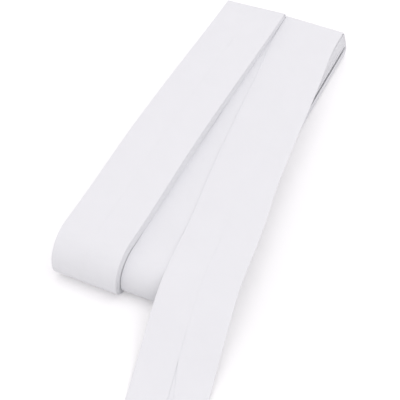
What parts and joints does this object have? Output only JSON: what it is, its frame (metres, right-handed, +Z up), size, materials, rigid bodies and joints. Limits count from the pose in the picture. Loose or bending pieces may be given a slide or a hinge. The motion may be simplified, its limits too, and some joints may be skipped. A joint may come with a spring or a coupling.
{
  "type": "flat wound hank of bias tape",
  "caption": "Flat hank of white folded bias tape, wound in side-by-side columns, with a loose end that crosses its top and runs off past the near fold.",
  "frame": {"origin": "middle of the flat underside, in the crossover between the columns, on the surface that the hank lies on", "axes": "+Z up; +Y along the columns towards the far fold, away from the loose end's cut; +X across the columns towards the lower one"},
  "size_m": [0.0597, 0.1622, 0.0164],
  "materials": {
    "wound_tape": "matte plain-weave cotton, cut on the bias",
    "loose_tape": "matte plain-weave cotton, cut on the bias"
  },
  "bodies": {
    "root": {"wound_hank": "wound_tape", "loose_end": "loose_tape"}
  },
  "joints": []
}
